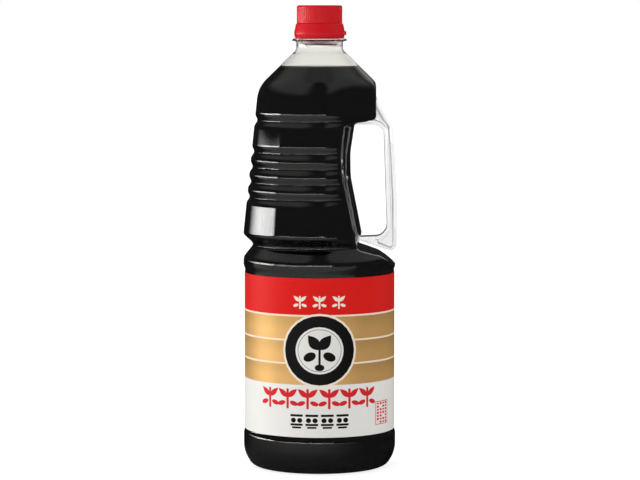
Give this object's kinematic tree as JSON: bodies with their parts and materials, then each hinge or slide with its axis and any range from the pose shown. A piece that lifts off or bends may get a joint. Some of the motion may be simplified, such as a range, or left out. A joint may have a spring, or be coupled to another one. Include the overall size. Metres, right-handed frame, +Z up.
{
  "type": "soy sauce bottle",
  "caption": "Tall clear plastic bottle of soy sauce with a moulded grip, a clear side handle, a printed wrap label and a red screw cap; stands on its base and is carried by the handle.",
  "frame": {"origin": "centre of the base, on the surface that the bottle stands on", "axes": "+Z up along the bottle's axis, +X towards the handle, -Y towards the front of the label"},
  "size_m": [0.1044, 0.1036, 0.3134],
  "materials": {
    "clear_plastic": "clear, glossy",
    "handle_plastic": "clear, glossy",
    "soy_sauce": "dark liquid, glossy",
    "label_print": "printed film, satin",
    "red_plastic": "moulded, satin gloss"
  },
  "bodies": {
    "root": {"bottle": "clear_plastic", "soy_sauce": "soy_sauce", "handle": "handle_plastic", "label": "label_print", "collar": "red_plastic", "cap": "red_plastic"}
  },
  "joints": []
}
